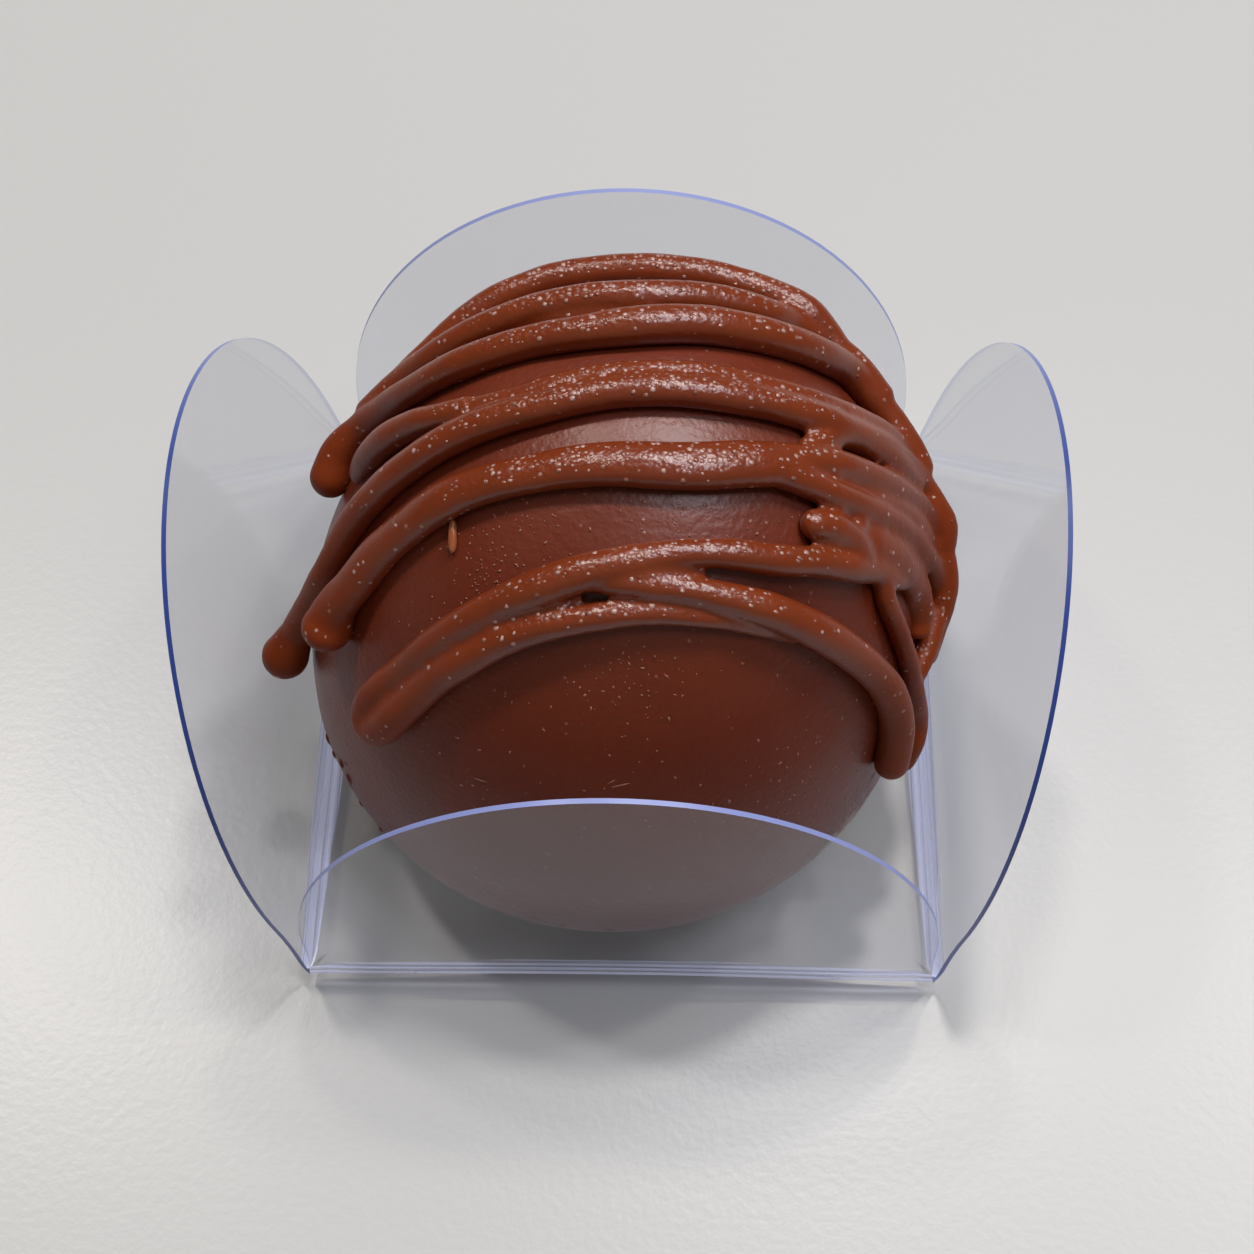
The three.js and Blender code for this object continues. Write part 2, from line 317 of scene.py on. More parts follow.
# Flecks: pale grains of fat on the bare shell, thickest on its front, and a few flakes and scratches
flecks = {
    "count": 950, "seed": 11,
    "size": (0.03, 0.08), "narrowing": (0.6, 1.0), "stretch": (1.0, 2.2), "flatness": 0.45,
    "span": ((-78, 78), (-102, 4)),
    "patches": [(-3, -40, 9), (2, -44, 12), (-26, -26, 8), (12, -18, 12), (-20, -20, 9), (40, -58, 14)],
    "patchShare": 0.35,
    "marks": [  # degrees right and back, length and width in mm, turn in degrees
        (0, -59, 1.1, 0.09, 12), (-2, -58.5, 0.7, 0.08, 25), (-28.5, -57, 0.9, 0.08, -20),
        (-14, -96, 0.8, 0.14, 30), (1, -99, 0.9, 0.16, -15), (39, -98, 0.7, 0.14, 40),
        (-83, -36, 0.5, 0.22, 70), (-73, -45, 0.4, 0.2, 20), (-76, -50, 0.5, 0.2, 80)],
    "pinks": ("#7a4230", "#a8725f"), "drift": 0.8, "roughness": 0.3,
}

# Scuffs: a frosty patch low on the right, where the shell was rubbed; its pale grains are partly painted
# highlight, where that edge glints
scuffsAndGlint = {"count": 800, "seed": 5, "middle": (71, -65), "spread": (4.5, 8), "length": (0.2, 0.8),
          "width": (0.02, 0.05), "turn": (-75, 14),
          "frostAndGlintGreys": ("#9a7f73", "#ddd0c9"), "drift": 0.5, "roughness": 0.35, "gloss": 0.8}

# Chips: flakes of the shell that stand out low on its left: degrees right and back, length, width, turn
chips = [(-83, -35, 0.7, 0.5, 80), (-81, -40, 0.6, 0.4, 60), (-76, -44, 0.7, 0.5, 70),
         (-74, -48.5, 0.9, 0.6, 75), (-76.5, -56, 0.5, 0.4, 80), (-72, -65, 0.5, 0.4, 60)]


def paleFlecks():
    # Grains of cocoa fat and sugar: paler and pinker than the shell, with a dull shine
    material, tree = newMaterial("cocoaFatGrains")
    place = addNode(tree, "ShaderNodeTexCoord").outputs["Object"]
    colour = twoTones(tree, place, flecks["pinks"], flecks["drift"])[0]
    shader = addNode(tree, "ShaderNodeBsdfPrincipled", {
        "Base Color": colour, "Roughness": flecks["roughness"], "IOR": cocoaIor})
    addNode(tree, "ShaderNodeOutputMaterial", {"Surface": shader.outputs[0]})
    return material


def rubbedChocolateAndGlint():
    # Rubbed chocolate: its fat has turned frosty and glints at a slant; its pale, greyish pink is partly
    # that frost and partly painted highlight
    material, tree = newMaterial("rubbedMilkChocolateWithPaintedGlint")
    place = addNode(tree, "ShaderNodeTexCoord").outputs["Object"]
    # partly painted highlight: the pale greys stand in for glints on that edge
    colour = twoTones(tree, place, scuffsAndGlint["frostAndGlintGreys"], scuffsAndGlint["drift"])[0]
    shader = addNode(tree, "ShaderNodeBsdfPrincipled", {
        "Base Color": colour, "Roughness": scuffsAndGlint["roughness"], "IOR": cocoaIor,
        "Specular IOR Level": scuffsAndGlint["gloss"]})
    addNode(tree, "ShaderNodeOutputMaterial", {"Surface": shader.outputs[0]})
    return material


def fleckSpots():  # where each fleck lies, with its length, width and turn
    draw = random.Random(flecks["seed"])
    (left, right), (front, back) = flecks["span"]
    for _ in range(flecks["count"]):
        if draw.random() < flecks["patchShare"]:
            patch = draw.choice(flecks["patches"])
            spot = (draw.gauss(patch[0], patch[2] / 2), draw.gauss(patch[1], patch[2] / 2))
        else:
            spot = (draw.uniform(left, right), draw.uniform(front, back))
        width = 2 * draw.uniform(*flecks["size"]) * draw.uniform(*flecks["narrowing"])
        yield (*spot, width * draw.uniform(*flecks["stretch"]), width, draw.uniform(0, 180))
    yield from flecks["marks"]


def scuffAndGlintSpots():  # the same for the scuffs and their painted glint
    draw = random.Random(scuffsAndGlint["seed"])
    for _ in range(scuffsAndGlint["count"]):
        right, back = (draw.gauss(at, spread) for at, spread in zip(scuffsAndGlint["middle"], scuffsAndGlint["spread"]))
        yield (right, back, draw.uniform(*scuffsAndGlint["length"]), draw.uniform(*scuffsAndGlint["width"]),
               draw.gauss(*scuffsAndGlint["turn"]))


def scatterGrains(name, spots, material):  # flattened grains half sunk in the shell, as one mesh
    clearSelection()
    bpy.ops.mesh.primitive_ico_sphere_add(subdivisions=1, radius=0.5)  # one unit across
    grain = bpy.context.object
    corners = [point.co.copy() for point in grain.data.vertices]
    sides = [tuple(face.vertices) for face in grain.data.polygons]
    bpy.data.objects.remove(grain)
    points, faces = [], []
    for right, back, length, width, turn in spots:
        middle = onDome(right, back)
        up = outOfDome(right, back)
        heading = math.radians(turn)
        ahead = onDome(right + math.cos(heading), back + math.sin(heading)) - middle
        across = up.cross(ahead).normalized()
        along = across.cross(up)
        faces += [tuple(len(points) + i for i in side) for side in sides]
        points += [middle + (along * corner.x * length + across * corner.y * width
                             + up * corner.z * width * flecks["flatness"]) * mm for corner in corners]
    mesh = bpy.data.meshes.new(name)
    mesh.from_pydata(points, [], faces)
    grains = bpy.data.objects.new(name, mesh)
    bpy.context.collection.objects.link(grains)
    mesh.shade_smooth()
    mesh.materials.append(material)
    settle(grains, "chocolate", "chocolate")


# Sliver: one thin shaving of paler chocolate that hangs from a strand on the left
sliver = {"top": (-30.5, -14.5), "bottom": (-30.5, -20.5), "half": 0.22, "out": 0.2,
          "segments": 16, "rings": 12, "grain": 0.5, "grainDepth": 0.1,
          "palerAndLitOranges": ("#8a4526", "#a8643c"), "drift": 0.4, "roughness": 0.25}


def shavedChocolate():
    # A shaving of milk chocolate: thin, so that it is glossy; its orange is partly paler chocolate and
    # partly painted light, for the light it lets through
    material, tree = newMaterial("shavedMilkChocolate")
    place = addNode(tree, "ShaderNodeTexCoord").outputs["Object"]
    # partly painted light: the orange stands in for light through the thin shaving
    colour = twoTones(tree, place, sliver["palerAndLitOranges"], sliver["drift"])[0]
    shader = addNode(tree, "ShaderNodeBsdfPrincipled", {
        "Base Color": colour, "Roughness": sliver["roughness"], "IOR": cocoaIor})
    addNode(tree, "ShaderNodeOutputMaterial", {"Surface": shader.outputs[0]})
    return material


def makeSliver():
    clearSelection()
    half = sliver["half"] * mm
    top, bottom = (onDome(*sliver[end], sliver["out"]) for end in ("top", "bottom"))
    line = bottom - top
    bpy.ops.mesh.primitive_uv_sphere_add(segments=sliver["segments"], ring_count=sliver["rings"],
                                         radius=half, location=(top + bottom) / 2)
    piece = bpy.context.object
    piece.name = "chocolateSliver"
    piece.rotation_euler = line.to_track_quat("X", "Z").to_euler()
    piece.scale = (line.length / 2 / half, 1, 1)
    bpy.ops.object.transform_apply(location=True, rotation=True, scale=True)
    makeUneven(piece, "sliverGrain", sliver["grain"], sliver["grainDepth"])
    applyAll(piece)
    bpy.ops.object.shade_smooth()
    piece.data.materials.append(shavedChocolate())
    settle(piece, "chocolate", "chocolate")


# Drizzle: strands piped to and fro over the crown, from the back to the front.
# A stop on a route gives degrees to the right and back of the crown, then, where they differ, how thick
# the strand is there and how many mm more it stands out because it lies on another strand.
drizzle = {
    "voxel": 0.17, "softenTimes": 4, "curveSteps": 12, "beadSegments": 24, "beadRings": 16,
    "flat": 1.0, "perch": 0.85,  # height as a share of width, and half heights that the middle stands out
    "ripple": 1.3, "rippleDepth": 0.035, "lump": 4.0, "lumpDepth": 0.1,
    "browns": ("#702b11", "#843918"), "drift": 3.0,
    "skinHeights": (21.5, 29.0), "roughness": (0.45, 0.3), "gloss": (0.15, 0.8),  # low down, at the crown
    "topFacing": (0.7, 0.95),  # how level a surface has to be to count as a strand's top
    "dimple": 0.34, "dimpleShare": (0.25, 1.3), "skinDepth": 0.06,
    # the bubbles' pale centres are painted sparkle, where the lamps glint on the strands' tops
    "paintedSparkle": "#e4c3ba", "paintedSparkleRange": (0.05, 0.75), "bubbleGap": 0.28, "bubbleReach": (0.28, 0.6),
    "clusterTone": (0.35, 0.65), "clusterShare": (0.4, 1.0), "strayShare": 0.06,
    "strands": [
        {"half": 0.8, "route": [(-56, 46), (-36, 52), (0, 56), (34, 51), (54, 42)]},
        {"half": 0.82, "route": [
            (-50, 23, 0.9), (-43.5, 27, 0.95), (-39, 31, 0.95), (-30.5, 34.5, 1, 0.2), (-23, 36.5, 1, 0.35),
            (-8.5, 38.5, 1, 0.3), (9, 37.5, 1, 0.35), (18, 36, 1, 0.5), (25, 33.5, 1, 0.7),
            (29.5, 31.5, 1, 0.8), (33.5, 30, 0.95, 0.6), (38, 27.5, 0.9, 0.3)]},
        {"half": 0.8, "route": [
            (-52, 24, 1, 0.2), (-45, 25.5), (-36, 25), (-27, 25), (-13.5, 24.5), (0, 23.5, 1.05),
            (13, 25.5, 1.05), (20.5, 26.5, 1.05), (29.5, 29.5), (36.5, 28.5, 1, 0.2), (41.5, 25.5, 1, 0.35),
            (46.5, 22, 0.95, 0.4)]},
        {"half": 0.55, "perch": 0.25, "route": [
            (-45, 27, 1, 0.3), (-37.5, 28), (-28.5, 25), (-21, 24), (-7, 22), (1.5, 21.5)]},
        {"half": 0.8, "route": [
            (-62.5, 15.5, 1.4), (-59, 18.5, 1.2, 0.3), (-54, 20.5, 1.05, 0.1), (-47.5, 19.5, 0.95),
            (-40.5, 17, 0.95), (-28.5, 15), (-16, 14), (-10, 13.5, 1.06), (0, 14, 1.18), (9, 15.5, 1.18),
            (15.5, 16.5, 1.13), (23, 18, 1.08), (31.5, 20.5, 1.05), (39.5, 23.5), (46, 21.5, 1, 0.05),
            (51, 18.5, 1, 0.2), (54.5, 15, 1, 0.35), (57, 12.5, 1, 0.4)]},
        {"half": 0.75, "route": [
            (-54.5, 9.5, 0.9, -0.5), (-50, 8, 1, -0.2), (-44.5, 7, 1.05), (-38.5, 6), (-33, 4.5, 0.9),
            (-27.5, 3.5, 0.82)]},
        {"half": 0.68, "perch": 0.65, "route": [
            (-33, 4.5, 0.9), (-25.5, 3, 0.9), (-19, 2.5, 0.9), (-12.5, 3), (0, 4), (12, 4.5), (26, 5.5),
            (32, 6.5, 1.05), (39, 8.5, 1.07), (46, 11, 1.1), (53, 13.5, 1.13), (57.5, 12.5, 1.15, 0.2),
            (60, 9.5, 1.15, 0.2)]},
        {"half": 0.76, "route": [
            (-80, -15, 1.7, 0.4), (-76.5, -12, 1.15, 0.2), (-68.5, -10.5, 0.95), (-61, -9.5, 0.95),
            (-51, -5.5), (-45.5, -4), (-40, -3, 1.05), (-28, -1.5, 1.05), (-15.5, -1), (0, 0.5), (15, 1),
            (29.5, 2.5), (36, 3.5), (44, 6), (52.5, 9), (59, 9.5, 1.03, 0.2), (62, 6.5, 1.05, 0.5),
            (64.5, 4, 1.1, 0.65), (66, 1.5, 1.1, 0.45)]},
        {"half": 0.68, "route": [
            (27.5, -3.5, 0.82), (31.5, 0, 0.9), (36, 3), (42.5, 4.5, 1.07), (48.5, 5.5, 1.1),
            (55.5, 7.5, 1.05)]},
        {"half": 1.05, "flat": 0.78, "perch": 0.6, "route": [
            (-58.5, -22, 1.25, 0.4), (-55.5, -19.5, 1.1, 0.35), (-51.5, -18, 1.03, 0.2), (-44.5, -15),
            (-40.5, -14, 0.95), (-31.5, -12), (-24.5, -11.5, 0.92), (-18, -11.5, 0.92), (-6, -11.5, 1.03),
            (8.5, -11.5, 1.12), (18, -9.5, 1.13), (24.5, -8, 0.95), (28, -6.5, 0.8)]},
        {"half": 0.74, "route": [
            (20, -7.5, 0.9), (31.5, -5), (38, -3.5), (45, -1.5), (52, 1, 0.95), (59.5, 3.5),
            (64.5, 3, 1, 0.25), (67, -0.5, 1, 0.5), (69.5, -4.5, 1, 0.55), (71, -8.5, 0.94, 0.4),
            (73, -13, 0.87, 0.1), (70.5, -20, 0.85)]},
        {"half": 0.68, "route": [
            (16, -10.5), (22, -10, 1.07), (29.5, -10), (36, -9.5), (43.5, -8.5), (51.5, -7), (59, -6, 1.04),
            (66.5, -4.5, 1.06), (70.5, -6, 1.07), (71, -10.5, 1.07), (70, -15.5), (69, -20.5, 0.92),
            (67.5, -25, 0.82)]},
        {"half": 0.74, "perch": 0.75, "route": [
            (29.3, -15.9), (33, -15.4, 1.05), (37, -15.8), (40, -17.4, 0.9)]},
        {"half": 1.15, "flat": 0.62, "perch": 0.3, "route": [
            (37, -12.6, 0.85), (43, -12.2, 1.1), (49.5, -11.6, 1.15), (56.5, -11.6), (62.5, -13.5, 0.8),
            (65.5, -17, 0.65)]},
        {"half": 1.1, "flat": 0.62, "perch": 0.3, "route": [
            (37.5, -17, 0.9), (43, -16.4, 1.05), (48.5, -15.6, 0.95), (53, -14.6, 0.7)]},
        {"half": 0.75, "perch": 0.4, "route": [
            (36, -6.8, 0.8), (42, -5.8), (49, -4.4, 1.1), (56, -2.6, 1.2), (62, -1.2, 1.1), (66, -1, 0.9)]},
        {"half": 0.76, "perch": 0.7, "route": [
            (44, -18, 0.82), (37, -20), (30.5, -21.5), (23, -23), (16, -23.5, 0.95), (10, -24, 0.88),
            (3.5, -25, 0.93), (-2.5, -26.2, 1.1), (-8.5, -27.3, 1.2), (-15, -28.8, 1.22),
            (-21.5, -30.2, 1.1), (-32.5, -33), (-41.5, -36), (-46.5, -37.4, 1.06, 0.1),
            (-50, -38.8, 1.08, 0.15), (-51.5, -40.8, 1.08, 0.15), (-50.5, -42.8, 1.12, 0.15),
            (-47.5, -43.5, 1.2, 0.15), (-43, -42.3, 1.2, 0.15), (-37, -40, 1.12), (-33, -38.5, 1.06),
            (-27, -36.9, 1.06), (-21.5, -35.3, 1.04), (-15, -34.2, 1.0), (-5, -33.2, 0.9), (1, -32.8, 0.8),
            (7.5, -32.8, 0.72), (14.5, -32.8, 0.66), (21.5, -33, 0.6, -0.15), (29, -33, 0.5, -0.4)]},
        {"half": 0.55, "route": [
            (46, -18), (48, -21), (51.5, -23), (56, -25), (60.5, -26.5), (65, -28), (70.5, -29.5, 1.12),
            (76, -31.5, 1.18, 0.15), (77, -35, 1.2, 0.3), (78.5, -39, 1.2, 0.2)]},
        {"half": 0.85, "route": [
            (-7, -28, 0.74), (-2.5, -28.5, 0.79), (4, -29, 0.79), (10.5, -29.5, 0.79), (17, -30, 0.9),
            (24, -30.5, 0.97), (32.5, -31.5, 1.03), (40, -32.5), (47.5, -33.5), (54.5, -35, 1.05),
            (60, -37.5, 1.07), (63.5, -40.5, 1.08), (66, -44, 1.1)]},
        {"half": 0.62, "perch": 0.95, "route": [
            (-6.5, -27.7, 0.9), (0, -27.3), (6, -26.8, 0.8), (10, -26.6, 0.5)]},
        {"half": 0.6, "perch": 0.2, "route": [
            (-47.5, -40.6), (-44, -39.6), (-38, -37.9, 0.9), (-32, -36, 0.7)]},
    ],
}


def addBubblesAndSparkle(tree, place, tone, top):  # round swellings in clusters on the tops, and how pale each is painted: a painted sparkle where light glints
    cells = addNode(tree, "ShaderNodeTexVoronoi", {"Vector": place,
                                                   "Scale": 1 / (drizzle["bubbleGap"] * mm)})
    luck = addNode(tree, "ShaderNodeSeparateColor", {"Color": cells.outputs["Color"]})
    low, high = drizzle["clusterTone"]
    few, many = drizzle["clusterShare"]
    cluster = addNode(tree, "ShaderNodeMapRange", {"Value": tone, "From Min": low, "From Max": high,
                                                   "To Min": few, "To Max": many})
    share = addNode(tree, "ShaderNodeMath", {0: cluster.outputs[0], 1: top, 2: drizzle["strayShare"]},
                    operation="MULTIPLY_ADD")
    chosen = addNode(tree, "ShaderNodeMath", {0: luck.outputs[0], 1: share.outputs[0]},
                     operation="LESS_THAN")
    least, most = drizzle["bubbleReach"]
    reach = addNode(tree, "ShaderNodeMapRange", {"Value": luck.outputs[1], "To Min": least, "To Max": most})
    inside = addNode(tree, "ShaderNodeMath", {0: cells.outputs["Distance"], 1: reach.outputs[0]},
                     operation="DIVIDE")
    square = addNode(tree, "ShaderNodeMath", {0: inside.outputs[0], 1: 2.0}, operation="POWER")
    swelling = addNode(tree, "ShaderNodeMath", {0: 1.0, 1: square.outputs[0]}, operation="SUBTRACT",
                       use_clamp=True)
    bubbles = addNode(tree, "ShaderNodeMath", {0: swelling.outputs[0], 1: chosen.outputs[0]},
                      operation="MULTIPLY")
    dull, pale = drizzle["paintedSparkleRange"]
    sparkleStrength = addNode(tree, "ShaderNodeMapRange", {"Value": luck.outputs[2], "To Min": dull,
                                                    "To Max": pale})
    paintedPaleness = addNode(tree, "ShaderNodeMath", {0: sparkleStrength.outputs[0], 1: bubbles.outputs[0]},
                    operation="MULTIPLY")
    return bubbles.outputs[0], paintedPaleness.outputs[0]


def pipedChocolate():
    # Piped milk chocolate: redder than the shell, dimpled, with tiny bubbles along each strand's top whose
    # pale centres are painted sparkle
    material, tree = newMaterial("pipedMilkChocolate")
    place = addNode(tree, "ShaderNodeTexCoord").outputs["Object"]
    brown, tone = twoTones(tree, place, drizzle["browns"], drizzle["drift"], detail=3)
    height = addNode(tree, "ShaderNodeSeparateXYZ", {"Vector": place}).outputs["Z"]
    low, high = drizzle["skinHeights"]
    upper = addNode(tree, "ShaderNodeMapRange", {"Value": height, "From Min": low * mm,
                                                 "From Max": high * mm})
    normal = addNode(tree, "ShaderNodeNewGeometry").outputs["Normal"]
    facing = addNode(tree, "ShaderNodeSeparateXYZ", {"Vector": normal}).outputs["Z"]
    steep, level = drizzle["topFacing"]
    top = addNode(tree, "ShaderNodeMapRange", {"Value": facing, "From Min": steep, "From Max": level})
    bubbles, paintedPaleness = addBubblesAndSparkle(tree, place, tone, top.outputs[0])
    dimples = addNode(tree, "ShaderNodeTexNoise", {"Vector": place, "Scale": 1 / (drizzle["dimple"] * mm),
                                                   "Detail": 1})
    skin = addNode(tree, "ShaderNodeMath", {0: upper.outputs[0], 1: top.outputs[0]}, operation="MULTIPLY")
    shallow, deep = drizzle["dimpleShare"]
    depth = addNode(tree, "ShaderNodeMapRange", {"Value": skin.outputs[0], "To Min": shallow,
                                                 "To Max": deep})
    relief = addNode(tree, "ShaderNodeMath", {0: dimples.outputs["Fac"], 1: depth.outputs[0], 2: bubbles},
                     operation="MULTIPLY_ADD")
    bump = addNode(tree, "ShaderNodeBump", {"Height": relief.outputs[0], "Strength": 1.0,
                                            "Distance": drizzle["skinDepth"] * mm})
    # painted sparkle: bubble centres on the upper, up-facing tops are painted pale
    colour = addNode(tree, "ShaderNodeMix", {0: paintedPaleness, 6: brown, 7: linear(drizzle["paintedSparkle"])},
                     data_type="RGBA")
    rough, gloss = (addNode(tree, "ShaderNodeMapRange", {
        "Value": upper.outputs[0], "To Min": lower, "To Max": crown})
        for lower, crown in (drizzle["roughness"], drizzle["gloss"]))
    shader = addNode(tree, "ShaderNodeBsdfPrincipled", {
        "Base Color": colour.outputs[2], "Roughness": rough.outputs[0], "IOR": cocoaIor,
        "Specular IOR Level": gloss.outputs[0], "Normal": bump.outputs["Normal"]})
    addNode(tree, "ShaderNodeOutputMaterial", {"Surface": shader.outputs[0]})
    return material


def pipeStrand(strand):  # a bevelled curve over the dome, with a round bead at each end
    half = strand["half"]
    flat = strand.get("flat", drizzle["flat"])
    perch = strand.get("perch", drizzle["perch"])
    usual = (1, 0)  # the thickness and the lift that a stop leaves out
    stops = [(*stop, *usual[len(stop) - 2:]) for stop in strand["route"]]
    bpy.ops.curve.primitive_bezier_circle_add(radius=half * mm)
    section = bpy.context.object
    section.scale.y = flat
    bpy.ops.object.transform_apply(location=True, rotation=True, scale=True)
    bpy.ops.curve.primitive_bezier_curve_add()
    line = bpy.context.object
    line.data.bevel_mode = "OBJECT"
    line.data.bevel_object = section
    line.data.twist_mode = "Z_UP"  # the flat of a strand lies level, as it set
    line.data.resolution_u = drizzle["curveSteps"]
    line.data.use_fill_caps = True
    points = line.data.splines[0].bezier_points
    points.add(len(stops) - 2)
    made = [line]
    for i, (right, back, thickness, lift) in enumerate(stops):
        place = onDome(right, back, half * flat * thickness * perch + lift)
        points[i].co = place
        points[i].handle_left_type = points[i].handle_right_type = "AUTO"
        points[i].radius = thickness
        if i in (0, len(stops) - 1):
            bpy.ops.mesh.primitive_uv_sphere_add(
                segments=drizzle["beadSegments"], ring_count=drizzle["beadRings"],
                radius=half * thickness * mm, location=place)
            bpy.context.object.scale.z = flat
            made.append(bpy.context.object)
    return made, section


def makeDrizzle():
    clearSelection()
    made, sections = [], []
    for strand in drizzle["strands"]:
        pieces, section = pipeStrand(strand)
        made += pieces
        sections.append(section)
    clearSelection()
    for piece in made:
        piece.select_set(True)
    bpy.context.view_layer.objects.active = made[0]
    bpy.ops.object.convert(target="MESH")
    bpy.ops.object.join()
    for section in sections:
        bpy.data.objects.remove(section)
    strands = bpy.context.object
    strands.name = "chocolateDrizzle"
    bpy.ops.object.transform_apply(location=True, rotation=True, scale=True)
    fuse = strands.modifiers.new("fuse", "REMESH")
    fuse.mode = "VOXEL"
    fuse.voxel_size = drizzle["voxel"] * mm
    soften = strands.modifiers.new("soften", "SMOOTH")
    soften.iterations = drizzle["softenTimes"]
    for name in ("ripple", "lump"):
        makeUneven(strands, "piped" + name.title(), drizzle[name], drizzle[name + "Depth"])
    applyAll(strands)
    bpy.ops.object.shade_smooth()
    strands.data.materials.clear()
    strands.data.materials.append(pipedChocolate())
    settle(strands, "chocolate", "chocolate")


# Case: one clear sheet, folded up on each side of a square base into a round petal
case = {
    "side": 35.0, "sheet": 0.25, "flatSide": 26.0, "foldRise": 1.2, "dishCurve": 1.5, "dishSquareness": 12,
    "petalHeight": 25.0, "petalWidth": 34.1, "petalTip": 0.001, "shoulder": 4.5, "cornerNick": 0.35,
    "bend": 1.3, "cornerBend": 0.15, "bendSegments": 7,  # a fold is rounder in its middle than at its ends
    "cells": 28, "shoulderRows": 6, "roundRows": 30, "smoothAngle": 35,
    "edgeSlack": 0.01, "foldSlack": 0.05, "merge": 0.02,  # what counts as at the edge, at a fold, one point
    "leans": {(0, -1): 1.0, (1, 0): 9.5, (0, 1): -1.5, (-1, 0): 10.0},  # degrees out, by a petal's way
}

# Sheet: what light does in it, from its base up to its petals where a value is a pair
sheetLook = {
    "bendsLight": 1.21, "petalStart": (1.5, 4.0), "tint": ("#ffffff", "#f6f7fa"),
    "mirror": "#efefef", "mirrorRoughness": 0.05, "haze": "#e8e6e2", "hazeShare": (0.06, 0.01),
}

# Folds: milky streaks side by side along each fold, partly the bent sheet's whitening and partly painted
# highlight, with a painted glow
foldLook = {
    "streak": 0.35, "streakNoise": (0.4, 0.6), "milkyShare": (0.06, 0.55),
    # the streak colour also glows: a painted glow, as the crease is no lamp
    "milkyAndGlow": "#d4d9f1", "milkyRoughness": 0.4, "glow": 0.35,
    "tint": "#eef0fa", "gleam": "#f4f4f4", "gleamRoughness": 0.3, "gleamShare": 0.1,
}

# Edge: its blue at the front, at the sides and at the back, and where each starts; the blue is painted light
# that comes out of the cut, and the sides' deeper blue is painted shade
edgeLook = {
    "front": "#8c96cc", "sides": "#34488f", "back": "#8e99cb", "behind": "#dfe3f2",
    "sideStart": (17.5, 20.0), "backStart": 12.0, "roughness": 0.35, "gloss": 0.3,
}


def clearSheet():
    # Clear stiff plastic sheet: what is behind it shows, with a mirror's gleam at a slant and a faint haze
    material, tree = newMaterial("clearSheet")
    side = addNode(tree, "ShaderNodeNewGeometry").outputs["Backfacing"]
    bend = addNode(tree, "ShaderNodeMapRange", {"Value": side, "To Min": sheetLook["bendsLight"],
                                                "To Max": 1 / sheetLook["bendsLight"]})
    gleam = addNode(tree, "ShaderNodeFresnel", {"IOR": bend.outputs[0]})
    place = addNode(tree, "ShaderNodeTexCoord").outputs["Object"]
    height = addNode(tree, "ShaderNodeSeparateXYZ", {"Vector": place}).outputs["Z"]
    low, high = sheetLook["petalStart"]
    petal = addNode(tree, "ShaderNodeMapRange", {"Value": height, "From Min": low * mm,
                                                 "From Max": high * mm})
    baseTint, petalTint = (linear(tint) for tint in sheetLook["tint"])
    tint = addNode(tree, "ShaderNodeMix", {0: petal.outputs[0], 6: baseTint, 7: petalTint}, data_type="RGBA")
    through = addNode(tree, "ShaderNodeBsdfTransparent", {"Color": tint.outputs[2]})
    mirror = addNode(tree, "ShaderNodeBsdfGlossy", {"Color": linear(sheetLook["mirror"]),
                                                    "Roughness": sheetLook["mirrorRoughness"]})
    clear = addNode(tree, "ShaderNodeMixShader", {0: gleam.outputs[0], 1: through.outputs[0],
                                                  2: mirror.outputs[0]})
    haze = addNode(tree, "ShaderNodeBsdfDiffuse", {"Color": linear(sheetLook["haze"])})
    baseHaze, petalHaze = sheetLook["hazeShare"]
    dust = addNode(tree, "ShaderNodeMapRange", {"Value": petal.outputs[0], "To Min": baseHaze,
                                                "To Max": petalHaze})
    sheet = addNode(tree, "ShaderNodeMixShader", {0: dust.outputs[0], 1: clear.outputs[0],
                                                  2: haze.outputs[0]})
    addNode(tree, "ShaderNodeOutputMaterial", {"Surface": sheet.outputs[0]})
    return material


